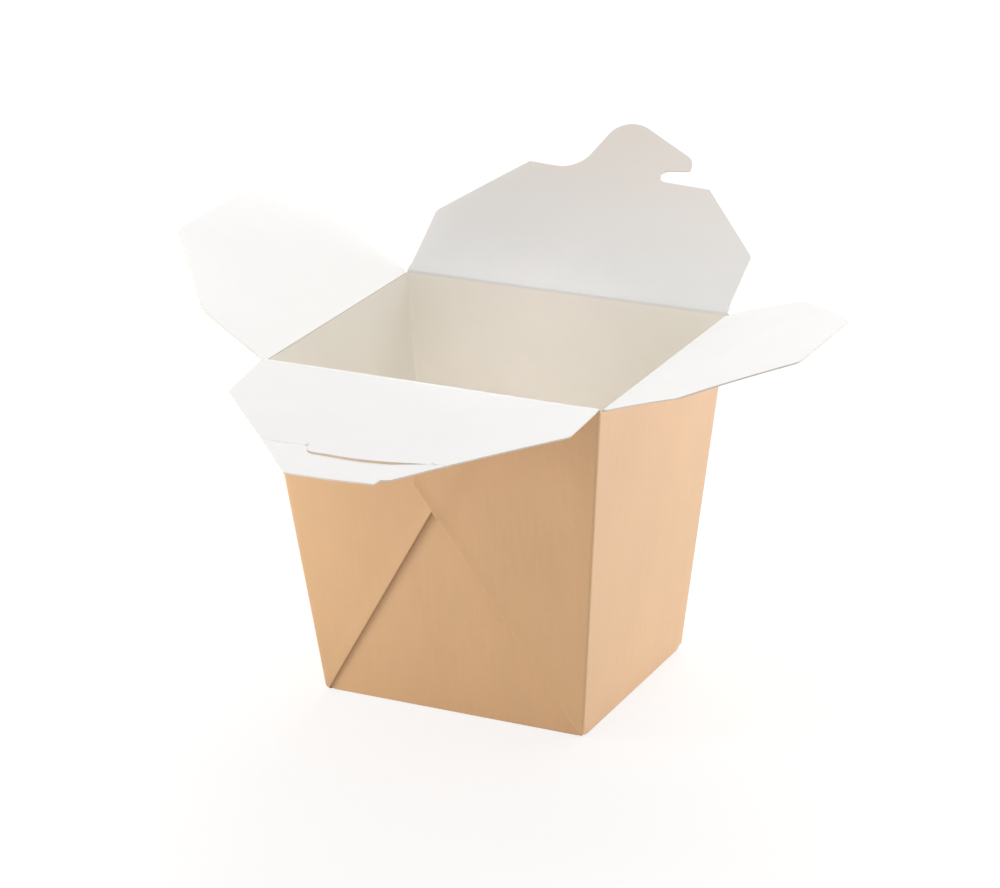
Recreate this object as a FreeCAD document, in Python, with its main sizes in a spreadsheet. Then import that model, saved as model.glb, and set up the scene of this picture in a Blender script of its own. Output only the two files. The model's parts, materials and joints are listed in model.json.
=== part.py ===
import FreeCAD, Part
import math
import os
import re

import Sketcher

# Takeaway box: one folded carton with four flaps on its rim.
# Frame: origin at the centre of the base on the table, +Z up, the front panel facing -Y.
# The flaps stand in the half-open pose, and each turns about the crease at its rim.

SIZES = {
    # Board and creases
    "board": 0.45,
    "crease_gap": 0.15,
    # Tapered walls, outside faces, without the folded webs
    "rim_height": 102.7,
    "rim_width": 104.6,
    "rim_depth": 88.0,
    "base_width": 82.5,
    "base_depth": 67.6,
    "corner_radius": 2.0,
    "base_radius": 1.2,
    "inner_corner_radius": 1.0,
    # Webs folded flat on the front and back panels
    "web_overlap": 4.6,
    "rim_band": 1.2,
    # Side flaps
    "side_flap_length": 48.0,
    "side_flap_straight": 22.6,
    "side_flap_end": 36.0,
    "side_flap_clearance": 0.12,
    "left_angle": 33.0,
    "right_angle": 15.0,
    # Front flap with its slit
    "front_flap_inset": 0.4,
    "front_flap_length": 55.9,
    "front_flap_straight": 17.9,
    "front_flap_end": 28.0,
    "front_angle": -7.0,
    "slit_left": 15.3,
    "slit_right": 24.8,
    "slit_turn": 5.0,
    "slit_line": 40.6,
    "slit_drop": 3.4,
    "slit_width": 0.45,
    "score_width": 0.5,
    "score_depth": 0.12,
    # Back flap with its hooked tab
    "back_flap_inset": 0.6,
    "back_flap_straight": 20.6,
    "shoulder": 43.6,
    "shoulder_left": 28.6,
    "shoulder_right": 29.8,
    "back_angle": 33.0,
    "neck_left": 13.4,
    "neck_radius": 7.0,
    "head_left": 7.2,
    "head_right": 0.7,
    "head_reach": 64.3,
    "head_radius": 4.4,
    "head_shoulder_radius": 8.0,
    "hook_reach": 21.8,
    "hook_height": 9.6,
    "hook_radius": 2.2,
    "slot_depth": 13.8,
    "slot_width": 5.0,
}

WORDS = {"cos", "tan", "atan", "deg"}


def bound(formula):
    """Turn the size names in a formula into cells of the sheet."""
    return re.sub(r"[a-z][a-z_]*", lambda word: word.group() if word.group() in WORDS
                  else "sizes." + word.group(), formula)


def value(formula):
    """The number that a formula gives with the sheet as it stands."""
    result = sheet.evalExpression(bound(formula))
    return float(getattr(result, "Value", result))


def bind(item, path, formula):
    """Tie one property of an object to the sheet."""
    item.setExpression(path, bound(formula))


document = FreeCAD.newDocument("takeaway_box")
sheet = document.addObject("Spreadsheet::Sheet", "sizes")
for row, (name, number) in enumerate(SIZES.items(), start=1):
    sheet.set(f"A{row}", name)
    sheet.set(f"B{row}", str(number))
    sheet.setAlias(f"B{row}", name)
document.recompute()

# Formulas that several features share.
# A wall's outside face moves outwards by its flare for each millimetre of height.
SIDE_FLARE = "((rim_width - base_width) / 2 / rim_height)"
PANEL_FLARE = "((rim_depth - base_depth) / 2 / rim_height)"
# Each layer of a closed lid lies one board and one gap above the last.
LAYER = "(board + crease_gap)"
SIDE_RIM = "rim_height"
FRONT_RIM = f"(rim_height + {LAYER})"
BACK_RIM = f"(rim_height + 2 * {LAYER})"
# A web is two layers of board, which stand out from the panel under them.
WEB = "(2 * board)"
PANEL_LEAN = f"atan({PANEL_FLARE})"
WEB_DEPTH = f"({WEB} * cos({PANEL_LEAN}))"
# Lengths up the sloping panel, and the angles that its side edges take in the flat blank.
PANEL_RUN = f"(rim_height / cos({PANEL_LEAN}))"
SIDE_RUN = f"(rim_height / cos(atan({SIDE_FLARE})))"
PANEL_SPLAY = f"atan((rim_width - base_width) / 2 / {PANEL_RUN})"
SIDE_SPLAY = f"atan((rim_depth - base_depth) / 2 / {SIDE_RUN})"
# The web is the corner gusset folded in half, so its fold edge halves the gusset's angle.
FOLD_LEAN = f"((90 deg - {PANEL_SPLAY} - {SIDE_SPLAY}) / 2 - {PANEL_SPLAY})"
APEX = f"(base_width / 2 / tan({FOLD_LEAN}))"
TIP = f"((base_width / 2 + web_overlap) / tan({FOLD_LEAN}))"
TIP_TO_RIM = f"({PANEL_RUN} - {TIP}) / (rim_width / 2 + web_overlap)"
CROSSING = f"({TIP} + web_overlap * {TIP_TO_RIM})"
BAND_END = f"(rim_width / 2 - rim_band / ({TIP_TO_RIM}))"
# The crease line lies just outside and above the rim that the flap folds from.
ROOT = "(crease_gap + board / 2)"
# Cutting outlines run past the board by this much.
CLEAR = "20"
# A full round takes a little under half of the thickness or width that it rounds.
FULL_ROUND = "0.48"
# The tip of the web on top slopes off over the hidden tip by this share of its height.
LAP_SLOPE = "0.9"


def origin_plane(body, role):
    """One of a body's own origin planes."""
    return [item for item in body.Origin.OriginFeatures if item.Role == role][0]


def new_body(name):
    body = document.addObject("PartDesign::Body", name)
    body.Label = name
    return body


def new_sketch(body, name, role, offset=None):
    """A sketch on one of the body's origin planes, moved by a placement formula."""
    sketch = body.newObject("Sketcher::SketchObject", name)
    sketch.AttachmentSupport = [(origin_plane(body, role), "")]
    sketch.MapMode = "FlatFace"
    if offset:
        bind_placement(sketch, "AttachmentOffset", *offset)
    return sketch


def bind_placement(item, path, place, turn):
    """Tie a placement to formulas for its three places and its yaw, pitch and roll."""
    places = "; ".join(bound(part) for part in place)
    turns = "; ".join(bound(part) for part in turn)
    item.setExpression(path, f"placement(vector({places}); rotation({turns}))")


def outline(sketch, corners):
    """Draw a closed outline whose corners are held by formulas."""
    first = sketch.GeometryCount
    count = len(corners)
    points = [FreeCAD.Vector(value(across), value(along), 0) for across, along in corners]
    for index in range(count):
        sketch.addGeometry(Part.LineSegment(points[index], points[(index + 1) % count]), False)
    for index in range(count):
        following = first + (index + 1) % count
        sketch.addConstraint(Sketcher.Constraint("Coincident", first + index, 2, following, 1))
    for index, corner in enumerate(corners):
        for kind, formula, number in zip(("DistanceX", "DistanceY"), corner, points[index]):
            dimension = Sketcher.Constraint(kind, -1, 1, first + index, 1, number)
            held = sketch.addConstraint(dimension)
            bind(sketch, f"Constraints[{held}]", formula)


def pad(body, name, sketch, length, both_ways=False):
    feature = body.newObject("PartDesign::Pad", name)
    feature.Profile = sketch
    feature.SideType = "Symmetric" if both_ways else "One side"
    bind(feature, "Length", length)
    document.recompute()
    return feature


def pocket(body, name, sketch, length, both_ways=False):
    """Cut a sketch away and make sure that something went."""
    before = body.Shape.Volume
    feature = body.newObject("PartDesign::Pocket", name)
    feature.Profile = sketch
    feature.SideType = "Symmetric" if both_ways else "One side"
    bind(feature, "Length", length)
    document.recompute()
    if not feature.Shape.Volume < before:
        raise RuntimeError(f"{name} cuts nothing")
    return feature


def edges_where(feature, wanted):
    """Names of the feature's edges whose every end point passes a test."""
    names = []
    for index, edge in enumerate(feature.Shape.Edges, start=1):
        if all(wanted(vertex.Point) for vertex in edge.Vertexes):
            names.append(f"Edge{index}")
    return names


def dress(body, kind, name, base, edges, path, formula):
    """Round or bevel some edges of a feature."""
    feature = body.newObject(f"PartDesign::{kind}", name)
    feature.Base = (base, edges)
    bind(feature, path, formula)
    document.recompute()
    return feature


def near(first, second):
    return abs(first - second) < 0.001


# Carton: floor, four sloping walls and the webs glued on the front and back panels.

def wedge(body, kind, name, bottom, top, inset, out):
    """A block that widens upwards; out is how far it stands off the panels."""
    block = body.newObject(f"PartDesign::{kind}", name)
    block.AttachmentSupport = [(origin_plane(body, "XZ_Plane"), "")]
    block.MapMode = "FlatFace"
    bind(block, "Ymin", bottom)
    bind(block, "Ymax", top)
    for end, height in (("", bottom), ("2", top)):
        across = f"(base_width / 2 + {SIDE_FLARE} * {height} - {inset})"
        deep = f"(base_depth / 2 + {PANEL_FLARE} * {height} - {inset} + {out})"
        bind(block, f"X{end}min", f"-{across}")
        bind(block, f"X{end}max", across)
        bind(block, f"Z{end}min", f"-{deep}")
        bind(block, f"Z{end}max", deep)
    document.recompute()
    return block


def round_box(body, name, block, floor, corner, foot):
    """Round the four upright corners that rise from a floor, then the edges round the floor."""
    top, bottom = value(BACK_RIM), value(floor)
    upright = [f"Edge{index}" for index, edge in enumerate(block.Shape.Edges, start=1)
               if {round(vertex.Point.z, 3) for vertex in edge.Vertexes}
               == {round(bottom, 3), round(top, 3)}]
    corners = dress(body, "Fillet", f"{name}_corners", block, upright, "Radius", corner)
    feet = edges_where(corners, lambda point: near(point.z, bottom))
    dress(body, "Fillet", f"{name}_foot", corners, feet, "Radius", foot)


def make_carton():
    body = new_body("carton")
    block = wedge(body, "AdditiveWedge", "carton_block", "0", BACK_RIM, "0", WEB)
    round_box(body, "carton_outside", block, "0", "corner_radius", "base_radius")
    room = wedge(body, "SubtractiveWedge", "carton_room", "board", f"({BACK_RIM} + {CLEAR})",
                 "board", "0")
    round_box(body, "carton_inside", room, "board", "inner_corner_radius", "base_radius - board")
    for side, turn in (("front", 1), ("back", -1)):
        make_webs(body, side, turn)
    cut_rims(body)
    return body


def make_webs(body, side, turn):
    """Bare panel between and above the two webs, and the tip of one web over the other."""
    face = (("0", "0", f"{turn} * (base_depth / 2 + {WEB})"),
            ("0", "0" if turn > 0 else "180", PANEL_LEAN))
    bare = new_sketch(body, f"{side}_bare_panel", "XZ_Plane", face)
    foot = f"(base_width / 2 + {CLEAR} * tan({FOLD_LEAN}))"
    outline(bare, [(f"-{foot}", f"-{CLEAR}"), (foot, f"-{CLEAR}"), ("0", APEX)])
    band = f"({PANEL_RUN} - rim_band)"
    outline(bare, [("0", CROSSING), (BAND_END, band), (f"-{BAND_END}", band)])
    pocket(body, f"{side}_panel_face", bare, WEB_DEPTH)
    lap = new_sketch(body, f"{side}_lap_outline", "XZ_Plane", face)
    outline(lap, [("0", APEX), ("web_overlap", TIP), ("0", CROSSING), ("-web_overlap", TIP)])
    lapped = pad(body, f"{side}_lap", lap, WEB_DEPTH)
    lean = math.radians(value(PANEL_LEAN))
    stand = value(f"(base_depth / 2 + {WEB}) * cos({PANEL_LEAN}) + {WEB_DEPTH}")

    def over_hidden_tip(point):
        out = -turn * math.cos(lean) * point.y - math.sin(lean) * point.z
        return near(out, stand) and turn * point.x > -0.001

    slopes = edges_where(lapped, over_hidden_tip)
    dress(body, "Chamfer", f"{side}_lap_slopes", lapped, slopes, "Size", f"{LAP_SLOPE} * {WEB_DEPTH}")


def cut_rims(body):
    """Step the rims so that each flap can close over the ones below it."""
    steps = new_sketch(body, "side_rim_outline", "XZ_Plane")
    inner = "(rim_width / 2 - board)"
    for way in ("-", ""):
        outline(steps, [(f"{way}{inner}", SIDE_RIM), (f"{way}({inner} + {CLEAR})", SIDE_RIM),
                        (f"{way}({inner} + {CLEAR})", f"({SIDE_RIM} + {CLEAR})"),
                        (f"{way}{inner}", f"({SIDE_RIM} + {CLEAR})")])
    pocket(body, "side_rims", steps, "2 * rim_depth", both_ways=True)
    front = new_sketch(body, "front_rim_outline", "YZ_Plane")
    outline(front, [("-rim_depth", FRONT_RIM), ("0", FRONT_RIM),
                    ("0", f"({FRONT_RIM} + {CLEAR})"), ("-rim_depth", f"({FRONT_RIM} + {CLEAR})")])
    pocket(body, "front_rim", front, "2 * rim_width", both_ways=True)


# Flaps: flat plates in their own frame, across X and outwards along Y from the crease.

def make_plate(name, corners):
    """A flap's plate with a rounded root on the crease line."""
    body = new_body(name)
    sheet_outline = new_sketch(body, f"{name}_outline", "XY_Plane")
    outline(sheet_outline, corners)
    plate = pad(body, f"{name}_plate", sheet_outline, "board", both_ways=True)
    root = value("-board / 2")
    ends = edges_where(plate, lambda point: near(point.y, root))
    long_ends = [end for end in ends if plate.Shape.getElement(end).Length > 2 * value("board")]
    dress(body, "Fillet", f"{name}_root", plate, long_ends, "Radius", f"{FULL_ROUND} * board")
    return body


def round_corner(body, name, corner, radius):
    """Round one upright corner of a plate."""
    across, along = (value(part) for part in corner)
    base = body.Tip
    edges = edges_where(base, lambda point: near(point.x, across) and near(point.y, along))
    if not edges:
        raise RuntimeError(f"{name} has no corner to round")
    dress(body, "Fillet", name, base, edges, "Radius", radius)


def hinge(body, out, rim, yaw, angle):
    """Put a flap on its crease, turned to its wall and raised to its angle."""
    reach = f"({out} + {ROOT})"
    place = {90: (f"-{reach}", "0"), -90: (reach, "0"), 0: ("0", reach), 180: ("0", f"-{reach}")}
    across, deep = place[yaw]
    bind_placement(body, "Placement", (across, deep, f"{rim} + {ROOT}"), (str(yaw), "0", angle))
    document.recompute()


def make_side_flap(name, yaw, angle):
    half = "(rim_depth / 2 - board - side_flap_clearance)"
    end = "(side_flap_end / 2)"
    # The ends of the crease are cut back, clear of the rounded corners inside the walls.
    root = f"({half} - inner_corner_radius)"
    wall = f"({ROOT} + board)"
    body = make_plate(name, [(f"-{root}", "-board / 2"), (root, "-board / 2"), (root, wall),
                             (half, f"({wall} + inner_corner_radius)"),
                             (half, "side_flap_straight"), (end, "side_flap_length"),
                             (f"-{end}", "side_flap_length"), (f"-{half}", "side_flap_straight"),
                             (f"-{half}", f"({wall} + inner_corner_radius)"), (f"-{root}", wall)])
    hinge(body, "rim_width / 2", SIDE_RIM, yaw, angle)
    return body


def make_front_flap():
    half = "(rim_width / 2 - front_flap_inset)"
    end = "(front_flap_end / 2)"
    body = make_plate("front_flap", [(f"-{half}", "-board / 2"), (half, "-board / 2"),
                                     (half, "front_flap_straight"), (end, "front_flap_length"),
                                     (f"-{end}", "front_flap_length"),
                                     (f"-{half}", "front_flap_straight")])
    score = new_sketch(body, "score_line", "XY_Plane", (("0", "0", "board"), ("0", "0", "0")))
    low, high = "(slit_line - score_width / 2)", "(slit_line + score_width / 2)"
    outline(score, [(f"-{half}", low), (half, low), (half, high), (f"-{half}", high)])
    pocket(body, "score", score, "board / 2 + score_depth")
    slit = new_sketch(body, "slit_outline", "XY_Plane")
    far = "(slit_line + slit_drop)"
    outline(slit, [("slit_left", "slit_line"), ("slit_left", f"({far} + slit_width)"),
                   ("-slit_turn", f"({far} + slit_width)"),
                   ("-slit_right", "slit_line + slit_width / 2"),
                   ("-slit_right", "slit_line - slit_width / 2"), ("-slit_turn", far),
                   ("slit_left - slit_width", far), ("slit_left - slit_width", "slit_line")])
    pocket(body, "slit", slit, "4 * board", both_ways=True)
    out = f"(base_depth / 2 + {PANEL_FLARE} * {FRONT_RIM} + {WEB})"
    hinge(body, out, FRONT_RIM, 180, "front_angle")
    return body


def make_back_flap():
    half = "(rim_width / 2 - back_flap_inset)"
    slot_top = "(shoulder + slot_width)"
    hook_top = "(shoulder + hook_height)"
    corners = {
        "slot_inner": ("slot_depth", "shoulder"),
        "slot_outer": ("slot_depth", slot_top),
        "hook_inner": ("hook_reach", slot_top),
        "hook_outer": ("hook_reach", hook_top),
        "head_shoulder": ("head_right", "head_reach"),
        "head": ("-head_left", "head_reach"),
        "neck": ("-neck_left", "shoulder"),
    }
    body = make_plate("back_flap", [(f"-{half}", "-board / 2"), (half, "-board / 2"),
                                    (half, "back_flap_straight"), ("shoulder_right", "shoulder"),
                                    *corners.values(), ("-shoulder_left", "shoulder"),
                                    (f"-{half}", "back_flap_straight")])
    slot_round = f"{FULL_ROUND} * slot_width"
    rounds = {"slot_inner": slot_round, "slot_outer": slot_round,
              "hook_inner": "hook_radius", "hook_outer": "hook_radius",
              "head_shoulder": "head_shoulder_radius", "head": "head_radius",
              "neck": "neck_radius"}
    for name, radius in rounds.items():
        round_corner(body, f"{name}_round", corners[name], radius)
    out = f"(base_depth / 2 + {PANEL_FLARE} * {BACK_RIM} + {WEB})"
    hinge(body, out, BACK_RIM, 0, "back_angle")
    return body


bodies = [
    make_carton(),
    make_side_flap("left_flap", 90, "left_angle"),
    make_side_flap("right_flap", -90, "right_angle"),
    make_front_flap(),
    make_back_flap(),
]
document.recompute()

for item in document.Objects:
    if "Invalid" in item.State or "Error" in item.State:
        raise RuntimeError(f"{item.Name} failed: {item.State}")
for body in bodies:
    if body.Shape.isNull() or not body.Shape.isValid() or len(body.Shape.Solids) != 1:
        raise RuntimeError(f"{body.Label} is not one valid solid")

os.makedirs("parts", exist_ok=True)
for body in bodies:
    body.Shape.exportStep(f"parts/{body.Label}.step")
    print(body.Label, round(body.Shape.Volume, 2), body.Shape.BoundBox)
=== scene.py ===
import json
import math

import bmesh
import bpy
from bpy.props import FloatProperty, FloatVectorProperty, PointerProperty
from mathutils import Matrix, Vector


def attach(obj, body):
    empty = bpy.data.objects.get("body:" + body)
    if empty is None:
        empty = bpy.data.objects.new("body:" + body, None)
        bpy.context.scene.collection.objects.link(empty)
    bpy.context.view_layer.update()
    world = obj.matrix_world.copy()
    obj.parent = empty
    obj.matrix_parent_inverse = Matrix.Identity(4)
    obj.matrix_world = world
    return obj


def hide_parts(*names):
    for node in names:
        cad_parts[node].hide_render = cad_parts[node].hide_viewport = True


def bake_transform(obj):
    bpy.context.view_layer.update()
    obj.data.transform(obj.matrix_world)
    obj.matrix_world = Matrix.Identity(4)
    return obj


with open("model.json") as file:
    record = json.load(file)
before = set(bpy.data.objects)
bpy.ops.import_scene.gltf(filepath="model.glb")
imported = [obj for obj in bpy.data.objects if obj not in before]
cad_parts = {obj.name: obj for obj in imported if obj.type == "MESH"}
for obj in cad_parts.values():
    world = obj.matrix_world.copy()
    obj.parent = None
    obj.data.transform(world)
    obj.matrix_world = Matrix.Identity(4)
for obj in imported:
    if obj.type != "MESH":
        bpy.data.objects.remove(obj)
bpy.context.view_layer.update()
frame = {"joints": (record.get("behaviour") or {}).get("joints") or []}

bl_info = {
    "name": "Takeaway Box",
    "version": (1, 0, 0),
    "blender": (4, 5, 0),
    "location": "View3D > Sidebar > Takeaway Box",
    "description": "Dresses a folded-board takeaway box that stands open",
    "category": "Object",
}

# Shapes are worked out in millimetres and become metres as a piece is finished.
MM = 0.001
UP = Vector((0, 0, 1))

# Tapered walls, outside faces of the bare board.
RIM_HEIGHT = 102.7
RIM_HALF = (52.3, 44.0)
BASE_HALF = (41.25, 33.8)
SIDE_FLARE = (RIM_HALF[0] - BASE_HALF[0]) / RIM_HEIGHT
PANEL_FLARE = (RIM_HALF[1] - BASE_HALF[1]) / RIM_HEIGHT
PANEL_LEAN = math.atan(PANEL_FLARE)

# Webs on the front and back panels, as distances across and up the sloping panel: where
# their folded edges meet, the height of a tip, its blunt end, the rim and its level
# stretch by the wall, and the foot and toe at the base.
WEB_APEX = (-1.2, 65.4)
WEB_TIP_HEIGHT = 73.2
WEB_BLUNT = (4.0, 79.0)
WEB_RIM_HEIGHT = 103.5
WEB_RIM_LENGTH = 2.0
WEB_FOOT_HEIGHT = 0.05
WEB_TOE = (-0.6, 1.3)
# On the back panel the folded edges meet on the other side of the middle, at this share
# of the distance.
BACK_APEX_SHARE = -0.3

# A web's folded edge stands this far off the panel, fully so from the last height up. The
# web comes down to the panel over the last of these distances from the edge.
WEB_STAND = 0.65
STAND_CUTS = (1.0, 2.0, 3.0, 4.5)
STAND_FULL_HEIGHT = 12

# The lapping web rides up by this share of the webs' thickness, and comes down over the
# last of these distances from the other web's folded edge.
LAP_LIFT = 0.6
LAP_CUTS = (0.0, 1.5, 3.0, 5.0, 7.0)

# The corners of the base have this radius, and are rounder than its folds: the heights at
# which the board is cut for them, and the distances from a corner over which they fade. A
# web's foot sinks into its panel by no more than the last value.
FOOT_CORNER = 1.8
FOOT_STEPS = (0.1, 0.3, 0.6, 1.2, 1.8)
FOOT_NEAR = (0.4, 0.9, 1.5, 2.2, 3.0)
FOOT_SINK = 0.1

# The plates of the flaps start this far out from the crease line. A crease strip bends
# between the two distances out from that line.
PLATE_START = 0.25

# The front flap's score line ends at two corners of its outline. The slit takes up the
# middle of the line, and its two bends are rounded.
SCORE_ENDS = ((-29.0, 41.0), (27.3, 41.5))
SLIT = ((-15.0, 40.5), (-13.6, 43.6), (5.0, 44.5), (24.7, 41.7))
SLIT_ROUNDS = (1.2, 7.0)
# The board past the slit lies lower by this much. The rest of the score line is a groove,
# so wide on each side of it, and so deep on the left of the slit and on its right.
SLIT_DROP = 0.5
SCORE_HALF = 0.3
SCORE_DEPTHS = (0.45, 0.1)

# Faces larger than these, in square millimetres, aren't shaded smooth.
CARTON_FLAT = 60
STRIP_FLAT = 30
SHARP_ANGLE = math.radians(35)

# Slots of the board's materials, in the order of board_materials.
KRAFT, WHITE, EDGE, WALL_PAINTED_LIGHT = range(4)


class BoxSizes(bpy.types.PropertyGroup):
    """Sizes that change how the folded board looks."""

    board: FloatProperty(
        name="Board", description="Thickness of the board", default=0.00045, unit="LENGTH")
    fold_radius: FloatProperty(
        name="Web fold", description="Radius of the webs' folded edges", default=0.00042,
        unit="LENGTH")
    corner_radius: FloatProperty(
        name="Upright corners", description="Outside radius where a wall turns into a web",
        default=0.00085, unit="LENGTH")
    inner_radius: FloatProperty(
        name="Inner corners", description="Radius of the corners inside the walls",
        default=0.001, unit="LENGTH")
    foot_radius: FloatProperty(
        name="Foot", description="Radius of the folds round the base", default=0.0006,
        unit="LENGTH")
    slit_gap: FloatProperty(
        name="Slit", description="Opening of the slit in the front flap", default=0.0004,
        unit="LENGTH")
    cut_spacing: FloatProperty(
        name="Bend spacing", description="Distance between the lines along which a flap bends",
        default=0.004, unit="LENGTH")


class BoxColours(bpy.types.PropertyGroup):
    """Colours of the board and strength of its grain."""

    kraft: FloatVectorProperty(
        name="Kraft", description="Outside of the board", subtype="COLOR", size=3,
        default=(0.624, 0.373, 0.178), min=0, max=1)
    white: FloatVectorProperty(
        name="White", description="Coated inside of the board", subtype="COLOR", size=3,
        default=(0.887, 0.875, 0.858), min=0, max=1)
    # Painted light: the walls' inside gets a creamier, lighter colour than the flaps for the
    # light that comes through the board.
    walls: FloatVectorProperty(
        name="Walls inside", description="Coated inside of the walls", subtype="COLOR", size=3,
        default=(0.98, 0.935, 0.855), min=0, max=1)
    # Partly painted shade: the cut edges show the board's core, made darker for the shadow lines
    # along the slit and under the flaps' edges.
    edge: FloatVectorProperty(
        name="Cut edge", description="Cut edges of the board", subtype="COLOR", size=3,
        default=(0.73, 0.67, 0.60), min=0, max=1)
    grain: FloatProperty(
        name="Grain", description="Strength of the paper's grain", default=1.0, min=0, max=3)
    surroundings: FloatProperty(
        name="Surroundings", description="Light from the white room", default=0.82, min=0, max=2)
    top: FloatProperty(
        name="Top lamp", description="Power of the lamp above and behind", default=7.6, min=0,
        unit="POWER")
    side: FloatProperty(
        name="Side lamp", description="Power of the lamp on the right", default=3.05, min=0,
        unit="POWER")
    mouth: FloatProperty(
        name="Mouth lamp", description="Power of the narrow lamp over the mouth", default=0.0022,
        min=0, unit="POWER")
    fill: FloatProperty(
        name="Fill lamp", description="Power of the lamp at the front", default=0.44, min=0,
        unit="POWER")


def sizes():
    return bpy.context.scene.box_sizes


def colours():
    return bpy.context.scene.box_colours


# Materials


class Number:
    """A number socket: Python's operators on it add Math nodes."""

    def __init__(self, finish, socket):
        self.finish = finish
        self.socket = socket

    def math(self, operation, first, second=0.0):
        node = self.finish.node("ShaderNodeMath", {"operation": operation}, {0: first, 1: second})
        return Number(self.finish, node.outputs[0])

    def __add__(self, other):
        return self.math("ADD", self, other)

    def __radd__(self, other):
        return self.math("ADD", other, self)

    def __rsub__(self, other):
        return self.math("SUBTRACT", other, self)

    def __mul__(self, other):
        return self.math("MULTIPLY", self, other)

    def above(self, level, softness):
        """1 where the number is well above a level, 0 where it is well below."""
        node = self.finish.node("ShaderNodeMapRange", {"interpolation_type": "SMOOTHSTEP"},
                                {"Value": self, "From Min": level - softness,
                                 "From Max": level + softness})
        return Number(self.finish, node.outputs["Result"])


class Nodes:
    """A node tree under construction."""

    def __init__(self, owner):
        owner.use_nodes = True
        self.tree = owner.node_tree
        self.tree.nodes.clear()

    def node(self, kind, settings=None, sockets=None):
        """Add a node, set it up, then give or link its sockets."""
        node = self.tree.nodes.new(kind)
        for name, setting in (settings or {}).items():
            setattr(node, name, setting)
        for name, source in (sockets or {}).items():
            self.feed(node.inputs[name], source)
        return node

    def feed(self, socket, source):
        if isinstance(source, Number):
            source = source.socket
        if isinstance(source, bpy.types.NodeSocket):
            self.tree.links.new(source, socket)
        else:
            socket.default_value = source


class Finish(Nodes):
    """A material under construction."""

    def __init__(self, name, roughness, specular, sheen=0.0):
        self.material = bpy.data.materials.new(name)
        super().__init__(self.material)
        self.surface = self.node("ShaderNodeBsdfPrincipled", {},
                                 {"Roughness": roughness, "Specular IOR Level": specular,
                                  "Sheen Weight": sheen, "Sheen Roughness": 0.4})
        self.node("ShaderNodeOutputMaterial", {}, {"Surface": self.surface.outputs["BSDF"]})
        self.place = self.node("ShaderNodeTexCoord").outputs["Object"]

    def stretched(self, across, deep, high):
        """Object coordinates in units of these lengths, in millimetres."""
        scale = tuple(1 / (MM * length) for length in (across, deep, high))
        return self.node("ShaderNodeMapping", {"vector_type": "POINT"},
                         {"Vector": self.place, "Scale": scale}).outputs["Vector"]

    def noise(self, across, deep=None, high=None, detail=2.0, roughness=0.5):
        """Noise from 0 to 1 whose blotches have about these lengths in millimetres."""
        place = self.stretched(across, deep or across, high or across)
        node = self.node("ShaderNodeTexNoise", {"noise_dimensions": "3D"},
                         {"Vector": place, "Scale": 1.0, "Detail": detail,
                          "Roughness": roughness})
        return Number(self, node.outputs["Fac"])

    def flecks(self, spacing, size, stretch=1.0):
        """Sparse specks: 1 inside a speck, 0 between them."""
        place = self.stretched(spacing, spacing, spacing * stretch)
        node = self.node("ShaderNodeTexVoronoi", {"feature": "F1"},
                         {"Vector": place, "Scale": 1.0, "Randomness": 1.0})
        return 1.0 - Number(self, node.outputs["Distance"]).above(size / spacing, 0.04)

    def mix(self, factor, first, second):
        node = self.node("ShaderNodeMix", {"data_type": "RGBA", "clamp_factor": True},
                         {"Factor": factor})
        self.feed(node.inputs[6], first)
        self.feed(node.inputs[7], second)
        return node.outputs[2]

    def bump(self, height, depth, strength=1.0):
        """Relief whose height of 1 stands this many millimetres proud."""
        return self.node("ShaderNodeBump", {},
                         {"Height": height, "Strength": strength, "Distance": depth * MM}
                         ).outputs["Normal"]


def tint(colour, factor):
    """A colour made lighter or darker, as a four-part colour."""
    return tuple(min(part * factor, 1.0) for part in colour) + (1.0,)


def kraft_outside():
    """Brown kraft face: cloudy tone, short fibres, faint streaks up the wall and rare flecks."""
    finish = Finish("kraft_outside", 0.42, 0.85, sheen=0.2)
    colour, grain = tuple(colours().kraft), colours().grain
    cloud = finish.noise(26, 26, 34, detail=3)
    fibre = finish.noise(0.35, 0.35, 1.3, detail=3, roughness=0.65)
    streak = finish.noise(1.6, 1.6, 30, detail=2)
    tone = finish.mix(cloud.above(0.5, 0.22), tint(colour, 0.965), tint(colour, 1.03))
    tone = finish.mix(fibre.above(0.52, 0.2) * (0.35 * grain), tone, tint(colour, 0.9))
    tone = finish.mix(streak.above(0.56, 0.12) * (0.16 * grain), tone, tint(colour, 1.1))
    dark = finish.flecks(3.4, 0.22, 1.6) * finish.noise(9).above(0.6, 0.05)
    light = finish.flecks(4.6, 0.25, 0.7) * finish.noise(13).above(0.62, 0.05)
    tone = finish.mix(dark * 0.3, tone, tint(colour, 0.62))
    tone = finish.mix(light * 0.35, tone, tint(colour, 1.3))
    finish.feed(finish.surface.inputs["Base Color"], tone)
    finish.feed(finish.surface.inputs["Roughness"], 0.36 + fibre * 0.14)
    finish.feed(finish.surface.inputs["Normal"],
                finish.bump(fibre + cloud * 2.0, 0.02, 0.35))
    return finish.material


def white_inside():
    """Coated face of the flaps, with painted warm shade towards the end of the back flap."""
    return coated_face("white_inside", tuple(colours().white), painted_shade_behind=True)


def walls_with_painted_light():
    """Coated face inside the walls, painted creamier and lighter for the light that comes through
    the board.
    """
    return coated_face("walls_with_painted_light", tuple(colours().walls))


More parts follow.
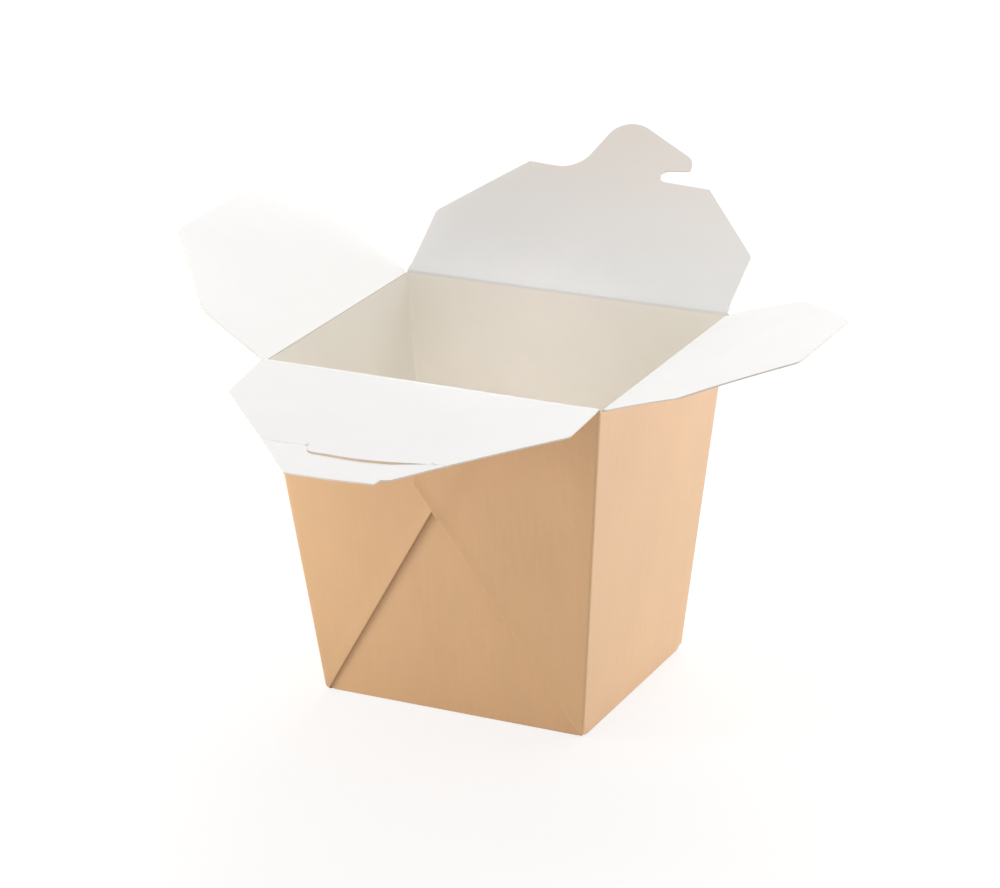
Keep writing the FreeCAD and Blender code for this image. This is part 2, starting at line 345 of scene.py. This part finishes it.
def coated_face(name, colour, painted_shade_behind=False):
    """Smooth coated face, with the faintest clouding of the board under it. It may get
    painted warm shade towards the end of the back flap."""
    finish = Finish(name, 0.5, 0.4)
    grain = colours().grain
    cloud = finish.noise(18, detail=3)
    fibre = finish.noise(0.5, detail=3, roughness=0.6)
    tone = finish.mix(cloud.above(0.5, 0.25), tint(colour, 0.985), tint(colour, 1.01))
    tone = finish.mix(fibre.above(0.55, 0.2) * (0.12 * grain), tone, tint(colour, 0.955))
    if painted_shade_behind:
        # Painted shade: the end of the back flap is made darker and warmer, for the shade it lies
        # in.
        axes = finish.node("ShaderNodeSeparateXYZ", {}, {"Vector": finish.place}).outputs
        behind = Number(finish, axes["Y"]).above(0.073, 0.032)
        warm = tuple(part * share for part, share in zip(colour, (0.94, 0.87, 0.80)))
        tone = finish.mix(behind, tone, tint(warm, 1))
    finish.feed(finish.surface.inputs["Base Color"], tone)
    finish.feed(finish.surface.inputs["Roughness"], 0.42 + cloud * 0.12)
    finish.feed(finish.surface.inputs["Normal"],
                finish.bump(fibre * 0.5 + cloud * 2.5, 0.02, 0.3))
    return finish.material


def board_edge_and_shade():
    """Cut edge: the pale brown core of the board, with the layers' fibres along it, painted
    darker for the shade along the slit and under the flaps' edges.
    """
    finish = Finish("board_edge_and_shade", 0.8, 0.2)
    colour = tuple(colours().edge)
    fibre = finish.noise(0.25, 0.25, 0.25, detail=3, roughness=0.7)
    patch = finish.noise(4, detail=2)
    tone = finish.mix(fibre.above(0.5, 0.2), tint(colour, 0.86), tint(colour, 1.1))
    tone = finish.mix(patch.above(0.55, 0.15) * 0.35, tone, tint(colour, 1.2))
    finish.feed(finish.surface.inputs["Base Color"], tone)
    finish.feed(finish.surface.inputs["Roughness"], 0.75 + fibre * 0.15)
    finish.feed(finish.surface.inputs["Normal"], finish.bump(fibre, 0.03, 0.5))
    return finish.material


def board_materials():
    """The outside, the flaps' inside, the cut edge and the walls' inside, each made once."""
    return [bpy.data.materials.get(make.__name__) or make()
            for make in (kraft_outside, white_inside, board_edge_and_shade, walls_with_painted_light)]


# Shapes


def clamp(value):
    """A value, or the nearer of 0 and 1 when it lies outside them."""
    return min(max(value, 0), 1)


def cut(bm, place, across):
    """Cut all faces with a plane, so that they can bend there."""
    everything = bm.verts[:] + bm.edges[:] + bm.faces[:]
    bmesh.ops.bisect_plane(bm, geom=everything, dist=0.0001, plane_co=place, plane_no=across)


def round_vertex(bm, vertex, reach, segments=8):
    """Round a corner of an outline; reach is how far along its sides the rounding starts."""
    bmesh.ops.bevel(bm, geom=[vertex], offset=reach, offset_type="OFFSET", segments=segments,
                    profile=0.5, affect="VERTICES", material=-1)


def round_edges(bm, edges, radius, segments=5):
    bmesh.ops.bevel(bm, geom=edges, offset=radius, offset_type="OFFSET", segments=segments,
                    profile=0.5, affect="EDGES", material=-1)


def join(bm, part):
    """Add one mesh to another."""
    mesh = bpy.data.meshes.new("part")
    part.to_mesh(mesh)
    part.free()
    bm.from_mesh(mesh)
    bpy.data.meshes.remove(mesh)


def turn_kraft_to(bm, direction):
    """Face a sheet's faces one way, the kraft side's."""
    bmesh.ops.recalc_face_normals(bm, faces=bm.faces)
    lean = sum((face.normal * face.calc_area() for face in bm.faces), Vector())
    if lean.dot(direction) < 0:
        bmesh.ops.reverse_faces(bm, faces=bm.faces)


def make_piece(name, bm, thick=False, flat_above=None):
    """Finish a piece in metres; a thick one gets the board's thickness about its sheet.
    Faces above a size, in square millimetres, stay flat, and the rest are shaded smooth up
    to a sharp edge."""
    bmesh.ops.scale(bm, vec=(MM, MM, MM), verts=bm.verts)
    for face in bm.faces:
        face.smooth = flat_above is None or face.calc_area() < flat_above * MM * MM
    mesh = bpy.data.meshes.new(name)
    bm.to_mesh(mesh)
    bm.free()
    for material in board_materials():
        mesh.materials.append(material)
    piece = bpy.data.objects.new(name, mesh)
    bpy.context.scene.collection.objects.link(piece)
    if thick:
        shell = piece.modifiers.new("board", "SOLIDIFY")
        shell.thickness = sizes().board
        shell.offset = 0.0
        shell.use_even_offset = True
        shell.material_offset = WHITE
        shell.material_offset_rim = EDGE
        bpy.context.view_layer.update()
        solid = piece.evaluated_get(bpy.context.evaluated_depsgraph_get())
        mesh = bpy.data.meshes.new_from_object(solid)
        mesh.name = name
        piece.modifiers.clear()
        piece.data = mesh
    piece.data.set_sharp_from_angle(angle=SHARP_ANGLE)
    return piece


def tapered_box(bm, inset, floor):
    """An open-topped box inside the walls' outside faces by an inset, as the first shape of
    a mesh. Returns its edges, apart from those of the rim."""
    bmesh.ops.create_cube(bm, size=2.0)
    for vertex in bm.verts:
        height = RIM_HEIGHT if vertex.co.z > 0 else floor
        vertex.co.x *= BASE_HALF[0] + SIDE_FLARE * height - inset
        vertex.co.y *= BASE_HALF[1] + PANEL_FLARE * height - inset
        vertex.co.z = height
    bm.normal_update()
    lid = max(bm.faces, key=lambda face: face.calc_center_median().z)
    rim = list(lid.edges)
    bmesh.ops.delete(bm, geom=[lid], context="FACES_ONLY")
    return [edge for edge in bm.edges if edge not in rim]


def foot_edges(edges, level):
    """The edges that lie no higher than a level and have a wall rising from them."""
    low = [edge for edge in edges if all(vertex.co.z < level for vertex in edge.verts)]
    return [edge for edge in low if len(edge.link_faces) == 2
            and max(face.calc_center_median().z for face in edge.link_faces) > level]


def walls(bm):
    """Floor and four walls of one thickness of board."""
    board = sizes().board / MM
    foot_radius = sizes().foot_radius / MM
    tolerance = 0.001
    round_edges(bm, tapered_box(bm, board, board), sizes().inner_radius / MM, 6)
    round_edges(bm, foot_edges(bm.edges, board + tolerance), foot_radius - board, 4)
    bmesh.ops.reverse_faces(bm, faces=bm.faces)
    for face in bm.faces:
        # The inside of the walls takes the finish with painted light through the board.
        face.material_index = WALL_PAINTED_LIGHT
    outer = bmesh.new()
    round_edges(outer, foot_edges(tapered_box(outer, 0.0, 0.0), tolerance), foot_radius, 5)
    for face in outer.faces:
        face.material_index = KRAFT
    join(bm, outer)
    rims = [edge for edge in bm.edges if len(edge.link_faces) == 1]
    for face in bmesh.ops.bridge_loops(bm, edges=rims)["faces"]:
        face.material_index = EDGE


def web(bm, way, lapping, turn):
    """One web: two layers of board glued flat on a panel, folded along its sloping edge.
    way is -1 for the left web and 1 for the right one; the lapping one rides over the other's
    tip. turn is 0 for the front panel and half a turn for the back one. The web is drawn as
    a right one, x across and y up its panel, then mirrored by way and stood on the panel."""
    part = bmesh.new()
    thick = 2 * sizes().board / MM
    slope = SIDE_FLARE * math.cos(PANEL_LEAN)
    apex = way * WEB_APEX[0] * (BACK_APEX_SHARE if turn else 1)

    def wall_edge(height):
        return (BASE_HALF[0] + slope * height, height)

    def folded_edge(height, aside=0.0):
        return (BASE_HALF[0] + (apex - BASE_HALF[0]) * height / WEB_APEX[1] + aside, height)

    corners = [wall_edge(WEB_FOOT_HEIGHT), wall_edge(WEB_RIM_HEIGHT),
               (RIM_HALF[0] - WEB_RIM_LENGTH, WEB_RIM_HEIGHT), (-WEB_BLUNT[0], WEB_BLUNT[1]),
               folded_edge(WEB_TIP_HEIGHT), folded_edge(WEB_TOE[1], WEB_TOE[0])]
    face = part.faces.new([part.verts.new((way * x, y, 0)) for x, y in corners])
    moved = bmesh.ops.extrude_face_region(part, geom=[face])
    top = [item for item in moved["geom"] if isinstance(item, bmesh.types.BMVert)]
    bmesh.ops.translate(part, vec=(0, 0, thick), verts=top)
    bmesh.ops.recalc_face_normals(part, faces=part.faces)

    def same(place, corner):
        return math.dist((way * place.x, place.y), corner) < 0.01

    def runs(edge, first, second):
        """Whether an edge joins two corners, on either face of the web."""
        return all(any(same(vertex.co, corner) for vertex in edge.verts)
                   for corner in (first, second))

    cut_middles = [((first[0] + second[0]) / 2, (first[1] + second[1]) / 2)
                   for first, second in zip(corners[1:4], corners[2:5])]
    for face in part.faces:
        is_cut = any(same(face.calc_center_median(), middle) for middle in cut_middles)
        face.material_index = EDGE if is_cut else KRAFT
    folds = [edge for edge in part.edges if runs(edge, corners[4], corners[5])]
    round_edges(part, folds, sizes().fold_radius / MM, 4)
    wall = [edge for edge in part.edges
            if runs(edge, corners[0], corners[1]) and edge.verts[0].co.z > thick / 2]
    round_edges(part, wall, sizes().corner_radius / MM, 5)
    lift_fold(part, way, apex)
    if lapping:
        lap_web(part, way, thick)
    round_foot(part)
    lean = Matrix.Rotation(math.pi / 2 + PANEL_LEAN, 4, "X")
    place = Matrix.Rotation(turn, 4, "Z") @ Matrix.Translation((0, -BASE_HALF[1], 0)) @ lean
    bmesh.ops.transform(part, matrix=place, verts=part.verts)
    join(bm, part)


def lift_fold(part, way, apex):
    """Let a web's folded edge stand a little off the panel."""
    corner = Vector((way * BASE_HALF[0], 0, 0))
    along = (Vector((way * apex, WEB_APEX[1], 0)) - corner).normalized()
    across = Vector((along.y, -along.x, 0)) * way
    for distance in STAND_CUTS:
        cut(part, corner + across * distance, across)
    for vertex in part.verts:
        share = clamp(1 - (vertex.co - corner).dot(across) / STAND_CUTS[-1])
        rise = clamp(vertex.co.y / STAND_FULL_HEIGHT)
        vertex.co.z += WEB_STAND * share * share * rise


def round_foot(part):
    """Draw a web's foot in round the fold at the base."""
    for height in FOOT_STEPS:
        cut(part, Vector((0, height, 0)), Vector((0, 1, 0)))
    for vertex in part.verts:
        pull = foot_pull(vertex.co.y, sizes().foot_radius / MM)
        vertex.co.z = max(vertex.co.z - pull, -FOOT_SINK)


def foot_pull(height, radius):
    """How far a rounded edge or corner of the base has drawn in at a height."""
    below = min(max(radius - height, 0), radius)
    return radius - math.sqrt(radius ** 2 - below ** 2)


def round_corners(bm):
    """Draw in the four corners of the base, walls and webs together."""
    for height in FOOT_STEPS:
        cut(bm, UP * height, UP)
    for axis, half in enumerate(BASE_HALF):
        direction = Vector((1 - axis, axis, 0))
        for distance in FOOT_NEAR:
            cut(bm, direction * (half - distance), direction)
            cut(bm, direction * (distance - half), direction)
    for vertex in bm.verts:
        distance = max(BASE_HALF[axis] - abs(vertex.co[axis]) for axis in (0, 1))
        near = clamp(1 - distance / FOOT_NEAR[-1])
        pull = near * near * foot_pull(vertex.co.z, FOOT_CORNER)
        for axis in (0, 1):
            vertex.co[axis] -= math.copysign(pull, vertex.co[axis])


def lap_web(part, way, thick):
    """Lift a web's tip over the folded edge of the web below it."""
    apex = Vector((WEB_APEX[0], WEB_APEX[1], 0))
    along = (apex - Vector((-way * BASE_HALF[0], 0, 0))).normalized()
    across = Vector((along.y, -along.x, 0)) * way
    for distance in LAP_CUTS:
        cut(part, apex + across * distance, across)
    for vertex in part.verts:
        share = clamp(1 - (vertex.co - apex).dot(across) / LAP_CUTS[-1])
        vertex.co.z += LAP_LIFT * thick * share * share * (3 - 2 * share)


class Flap:
    """Where a flap's crease lies and how the flap stands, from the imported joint: across runs
    on the crease, along away from it on the plate, white off the plate's white side, and
    out level away from the box."""

    def __init__(self, crease, across, out):
        joint = next(item for item in frame["joints"] if item["name"] == crease)
        self.axis = Vector(joint["pos_m"]) / MM
        self.across = Vector(across)
        self.out = Vector(out)
        # At its lower limit a flap hangs straight down, 90 degrees below level.
        angle = math.radians(-90 - joint["range_deg"][0])
        self.along = self.out * math.cos(angle) + UP * math.sin(angle)
        self.white = UP * math.cos(angle) - self.out * math.sin(angle)

    def matrix(self):
        """From the plate's own axes to the box's."""
        place = Matrix((self.across, self.along, self.white)).transposed().to_4x4()
        place.translation = self.axis
        return place

    def reach(self, distance):
        """The point out and up from the crease line at a distance along the flap."""
        step = self.along * distance
        return (step.dot(self.out), step.z)


LEFT = Flap("left_crease", (0, 1, 0), (-1, 0, 0))
RIGHT = Flap("right_crease", (0, 1, 0), (1, 0, 0))
FRONT = Flap("front_crease", (1, 0, 0), (0, -1, 0))
BACK = Flap("back_crease", (1, 0, 0), (0, 1, 0))


def outline(corners, rounds):
    """A flat face from an outline; rounds gives the corners that are rounded, by number, and
    how far along their sides the rounding starts."""
    bm = bmesh.new()
    made = [bm.verts.new((across, along, 0)) for across, along in corners]
    bm.faces.new(made)
    for index, reach in rounds.items():
        round_vertex(bm, made[index], reach)
    return bm


def bend(bm, shape):
    """Cut a flap's sheet both ways and move it off its plane by a shape's formula."""
    step = sizes().cut_spacing / MM
    for axis, direction in ((0, Vector((1, 0, 0))), (1, Vector((0, 1, 0)))):
        low = min(vertex.co[axis] for vertex in bm.verts)
        high = max(vertex.co[axis] for vertex in bm.verts)
        for index in range(1, int((high - low) / step)):
            cut(bm, direction * (low + index * step), direction)
    for vertex in bm.verts:
        vertex.co.z += shape(vertex.co.x, vertex.co.y)


def place_flap(name, node, flap, bm):
    """Put a flap's sheet on its crease, give it its thickness and let it ride."""
    bmesh.ops.transform(bm, matrix=flap.matrix(), verts=bm.verts)
    bm.normal_update()
    turn_kraft_to(bm, -flap.white)
    piece = make_piece(name, bm, thick=True)
    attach(piece, node)
    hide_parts(node)


def crease_strip(name, flap, points, half, corner=0.0):
    """The strip of board that bends between a wall's rim and its flap. Its points are
    distances out and up from the crease line, and the second may be a rounded corner."""
    bm = bmesh.new()
    made = [bm.verts.new(flap.axis + flap.out * out + UP * up - flap.across * half)
            for out, up in points]
    for first, second in zip(made, made[1:]):
        bm.edges.new((first, second))
    if corner:
        round_vertex(bm, made[1], corner, 5)
    grown = bmesh.ops.extrude_edge_only(bm, edges=bm.edges[:])
    ends = [item for item in grown["geom"] if isinstance(item, bmesh.types.BMVert)]
    bmesh.ops.translate(bm, vec=flap.across * (2 * half), verts=ends)
    bm.normal_update()
    turn_kraft_to(bm, flap.out - UP)
    piece = make_piece(name, bm, thick=True, flat_above=STRIP_FLAT)
    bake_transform(piece)


# Operators, one for each piece or group of like pieces


class BOX_OT_carton(bpy.types.Operator):
    """Add the floor, the walls and the glued corner webs"""

    bl_idname = "takeaway_box.carton"
    bl_label = "Carton"

    def execute(self, context):
        bm = bmesh.new()
        walls(bm)
        for turn in (0, math.pi):
            web(bm, -1, False, turn)
            web(bm, 1, True, turn)
        round_corners(bm)
        piece = make_piece("carton_board", bm, flat_above=CARTON_FLAT)
        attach(piece, "carton")
        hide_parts("carton")
        return {"FINISHED"}


class BOX_OT_side_flaps(bpy.types.Operator):
    """Add the flaps on the left and right rims"""

    bl_idname = "takeaway_box.side_flaps"
    bl_label = "Side flaps"

    def execute(self, context):
        corners = [(-43.2, PLATE_START), (43.2, PLATE_START), (43.2, 24.3), (18.4, 48.4),
                   (-18.9, 48.3), (-43.2, 22.6)]
        rounds = {2: 1.0, 3: 1.6, 4: 1.6, 5: 1.0}
        for side, flap, shape in (("left", LEFT, left_bend), ("right", RIGHT, right_bend)):
            bm = outline(corners, rounds)
            bend(bm, shape)
            place_flap(side + "_flap_board", side + "_flap", flap, bm)
        return {"FINISHED"}


def left_bend(across, along):
    """A twist that lifts the left flap's back corner and leaves the front one nearly flat."""
    return max(0.0141 * along + 1.64 * (across / 50) * (along / 40), -0.08)


def right_bend(across, along):
    """A curl that lifts the right flap's middle and lets its end down again."""
    return 0.0745 * along - 0.00155 * along * along


class BOX_OT_front_flap(bpy.types.Operator):
    """Add the front flap with its score line and slit"""

    bl_idname = "takeaway_box.front_flap"
    bl_label = "Front flap"

    def execute(self, context):
        bm = outline([(-51.9, PLATE_START), (51.9, PLATE_START), (51.4, 17.0), SCORE_ENDS[1],
                      (16.4, 52.8), (13.7, 53.6), (13.0, 56.0), (-13.4, 57.2), SCORE_ENDS[0],
                      (-51.9, 18.8)], {9: 1.2, 2: 1.2})
        lip = bm.faces.layers.int.new("lip")
        cut_lip(bm, lip)
        bend(bm, front_bend)
        for vertex in bm.verts:
            if on_lip(vertex, lip):
                tilt = 0.03 - 0.035 * clamp((vertex.co.x - SLIT[0][0]) / 16)
                vertex.co.z += tilt * max(vertex.co.y - SLIT[0][1], 0)
        place_flap("front_flap_board", "front_flap", FRONT, bm)
        return {"FINISHED"}


def front_bend(across, along):
    """A twist that lowers the front flap's left side and lifts its right side a little. It
    grows no more past the slit."""
    return (1.26 * (across / 50) / 40 - 0.0134) * min(along, 45)


def on_lip(vertex, lip):
    """Whether a point belongs only to the board past the score line."""
    return all(face[lip] for face in vertex.link_faces)


def cut_lip(bm, lip):
    """Split the front flap along its score line and open the slit in the middle of it."""
    past_score, past_slit = 45, 45.2
    face = bm.faces[:][0]
    ends = [min(face.verts, key=lambda vertex: (vertex.co.xy - Vector(place)).length)
            for place in SCORE_ENDS]
    path = [Vector((across, along, 0)) for across, along in SLIT]
    bmesh.utils.face_split(face, ends[0], ends[1], coords=path)
    for face in bm.faces:
        face[lip] = int(face.calc_center_median().y > past_score)
    bends = [min(bm.verts, key=lambda vertex: (vertex.co - place).length) for place in path[1:3]]
    for vertex, reach, segments in zip(bends, SLIT_ROUNDS, (4, 8)):
        round_vertex(bm, vertex, reach, segments)
    low, high = SLIT[0][0], SLIT[-1][0]
    line = [edge for edge in bm.edges if len(edge.link_faces) == 2]
    slit = [edge for edge in line
            if low - 0.1 < (edge.verts[0].co.x + edge.verts[1].co.x) / 2 < high + 0.1]
    score = [edge for edge in line if edge not in slit]
    bmesh.ops.split_edges(bm, edges=slit)
    gap = sizes().slit_gap / MM
    for vertex in bm.verts:
        beside_slit = low + 0.1 < vertex.co.x < high - 0.1 and vertex.co.y < past_slit
        if beside_slit and on_lip(vertex, lip):
            vertex.co += Vector((gap * 0.5, gap, -SLIT_DROP))
    made = bmesh.ops.bevel(bm, geom=score, offset=SCORE_HALF, offset_type="OFFSET", segments=2,
                           profile=0.5, affect="EDGES", material=-1)
    middle = [edge for edge in bm.edges if len(edge.link_faces) == 2
              and all(face in made["faces"] for face in edge.link_faces)]
    for vertex in {vertex for edge in middle for vertex in edge.verts}:
        if vertex.co.x < 0:
            vertex.co.z -= SCORE_DEPTHS[0] * clamp((vertex.co.x - SCORE_ENDS[0][0]) / 6)
        else:
            vertex.co.z -= SCORE_DEPTHS[1]


class BOX_OT_back_flap(bpy.types.Operator):
    """Add the back flap with its hooked tab"""

    bl_idname = "takeaway_box.back_flap"
    bl_label = "Back flap"

    def execute(self, context):
        bm = outline([(-51.7, PLATE_START), (51.7, PLATE_START), (51.7, 20.0), (29.8, 43.6),
                      (13.4, 43.9), (13.2, 48.1), (21.3, 49.6), (21.6, 53.8), (1.4, 64.1),
                      (-6.4, 64.3), (-13.2, 43.8), (-29.0, 44.1), (-51.7, 21.4)],
                     {2: 1.0, 4: 1.9, 5: 1.9, 6: 0.8, 7: 3.4, 8: 1.8, 9: 5.4, 10: 6.5, 12: 1.0})
        bend(bm, back_bend)
        place_flap("back_flap_board", "back_flap", BACK, bm)
        return {"FINISHED"}


def back_bend(across, along):
    """A twist that brings the back flap's left side forwards and its right side backwards."""
    return -2.3 * (across / 50) * (along / 44) ** 2


class BOX_OT_creases(bpy.types.Operator):
    """Add the four creases that join the flaps to the rim"""

    bl_idname = "takeaway_box.creases"
    bl_label = "Creases"

    def execute(self, context):
        side_half = 42.4
        half_board = sizes().board / MM / 2
        rim = RIM_HEIGHT - LEFT.axis.z
        wall = RIM_HALF[0] - half_board - RIGHT.axis.x
        crease_strip("left_crease_board", LEFT,
                     [(wall, rim), LEFT.reach(PLATE_START)], side_half)
        # The right flap lies flatter than the left one, so its strip needs a rounded fold.
        crease_strip("right_crease_board", RIGHT,
                     [(wall, rim), (wall + 0.02, -0.155), RIGHT.reach(PLATE_START)],
                     side_half, corner=0.12)
        # The front and back strips go on up the panel to a fold, then out over the webs.
        for side, flap, half, fold in (("front", FRONT, 51.9, -0.02),
                                       ("back", BACK, 52.0, -0.95)):
            rim = RIM_HEIGHT - flap.axis.z
            panel = RIM_HALF[1] - half_board - abs(flap.axis.y)
            points = [(panel, rim), (panel + PANEL_FLARE * (fold - rim), fold),
                      flap.reach(PLATE_START)]
            crease_strip(side + "_crease_board", flap, points, half, corner=0.25)
        return {"FINISHED"}


class BOX_OT_stage(bpy.types.Operator):
    """Add the floor, the lamps, the white room and the camera"""

    bl_idname = "takeaway_box.stage"
    bl_label = "Stage"

    def execute(self, context):
        floor()
        room()
        lamp("top_lamp", colours().top, size=(0.8, 0.8), place=(-0.05, 0.82, 0.94))
        lamp("side_lamp", colours().side, size=(0.5, 0.08), place=(0.44, 0.52, 0.06))
        lamp("mouth_lamp", colours().mouth, size=(0.02, 0.02), place=(0.12, -0.25, 0.42),
             spread=12, aim=(0, 0.003, 0.103))
        lamp("fill_lamp", colours().fill, size=(0.12, 0.12), place=(-0.24, -0.17, 0.09))
        camera()
        context.scene.view_settings.view_transform = "Standard"
        return {"FINISHED"}


def seen_directly(nodes):
    """1 for rays from the camera and for what gloss and glass show of the surroundings."""
    rays = nodes.node("ShaderNodeLightPath").outputs
    seen = Number(nodes, rays["Is Camera Ray"])
    for name in ("Is Glossy Ray", "Is Transmission Ray"):
        seen = seen.math("MAXIMUM", seen, rays[name])
    return seen


def floor():
    """A plain white floor that keeps a faint shadow of the box: seen directly, it is partly
    paint and mostly glow."""
    white, glow_strength, glow_share = (0.9, 0.9, 0.9, 1), 1.06, 0.7
    bm = bmesh.new()
    bmesh.ops.create_grid(bm, x_segments=1, y_segments=1, size=2.0)
    mesh = bpy.data.meshes.new("floor")
    bm.to_mesh(mesh)
    bm.free()
    piece = bpy.data.objects.new("floor", mesh)
    bpy.context.scene.collection.objects.link(piece)
    material = bpy.data.materials.new("floor_white")
    nodes = Nodes(material)
    paint = nodes.node("ShaderNodeBsdfDiffuse", {}, {"Color": white})
    glow = nodes.node("ShaderNodeEmission", {}, {"Strength": glow_strength})
    blend = nodes.node("ShaderNodeMixShader", {},
                       {0: seen_directly(nodes) * glow_share, 1: paint.outputs[0],
                        2: glow.outputs[0]})
    nodes.node("ShaderNodeOutputMaterial", {}, {"Surface": blend.outputs[0]})
    mesh.materials.append(material)


def room():
    """An even white room round the box."""
    world = bpy.data.worlds.new("white_room")
    bpy.context.scene.world = world
    nodes = Nodes(world)
    light = nodes.node("ShaderNodeBackground", {}, {"Strength": colours().surroundings})
    seen = nodes.node("ShaderNodeBackground", {}, {"Color": (1, 1, 1, 1), "Strength": 1.0})
    blend = nodes.node("ShaderNodeMixShader", {},
                       {0: seen_directly(nodes), 1: light.outputs[0], 2: seen.outputs[0]})
    nodes.node("ShaderNodeOutputWorld", {}, {"Surface": blend.outputs[0]})


def lamp(name, power, size, place, spread=180, aim=(0, 0, 0.06)):
    """A soft lamp, so wide and so high in metres, whose light spreads by so many degrees
    about a line to its aim."""
    light = bpy.data.lights.new(name, "AREA")
    light.energy = power
    light.shape = "RECTANGLE"
    light.size, light.size_y = size
    light.spread = math.radians(spread)
    item = bpy.data.objects.new(name, light)
    bpy.context.scene.collection.objects.link(item)
    item.location = place
    item.visible_camera = False
    item.rotation_mode = "QUATERNION"
    item.rotation_quaternion = (Vector(aim) - item.location).to_track_quat("-Z", "Y")


def camera():
    """The photograph's viewpoint: turned round the box and raised, rolled, and at a distance
    from a point beside the box."""
    around, above, roll = (math.radians(angle) for angle in (26.56, 20.87, -1.18))
    distance, point = 1130.4, Vector((-24.41, 48.15, 50.0))
    data = bpy.data.cameras.new("camera")
    data.sensor_width = 36.0
    data.lens = 134.2
    data.clip_start, data.clip_end = 0.05, 20
    item = bpy.data.objects.new("camera", data)
    bpy.context.scene.collection.objects.link(item)
    back = Vector((math.sin(around) * math.cos(above), -math.cos(around) * math.cos(above),
                   math.sin(above)))
    right = (-back).cross(UP).normalized()
    top = right.cross(-back)
    turn = Matrix.Rotation(roll, 4, "Z")
    place = Matrix((right, top, back)).transposed().to_4x4() @ turn
    place.translation = (point + back * distance) * MM
    item.matrix_world = place
    bpy.context.scene.camera = item


class BOX_PT_panel(bpy.types.Panel):
    bl_label = "Takeaway Box"
    bl_space_type = "VIEW_3D"
    bl_region_type = "UI"
    bl_category = "Takeaway Box"

    def draw(self, context):
        for group in (context.scene.box_sizes, context.scene.box_colours):
            column = self.layout.column(align=True)
            for name in group.__annotations__:
                column.prop(group, name)
        for operator in OPERATORS:
            self.layout.operator(operator.bl_idname)


OPERATORS = (BOX_OT_carton, BOX_OT_side_flaps, BOX_OT_front_flap, BOX_OT_back_flap,
             BOX_OT_creases, BOX_OT_stage)
CLASSES = (BoxSizes, BoxColours) + OPERATORS + (BOX_PT_panel,)


def register():
    for item in CLASSES:
        bpy.utils.register_class(item)
    bpy.types.Scene.box_sizes = PointerProperty(type=BoxSizes)
    bpy.types.Scene.box_colours = PointerProperty(type=BoxColours)


def unregister():
    del bpy.types.Scene.box_colours
    del bpy.types.Scene.box_sizes
    for item in reversed(CLASSES):
        bpy.utils.unregister_class(item)


def main():
    register()
    for operator in OPERATORS:
        group, name = operator.bl_idname.split(".")
        getattr(getattr(bpy.ops, group), name)()


if __name__ == "__main__":
    main()
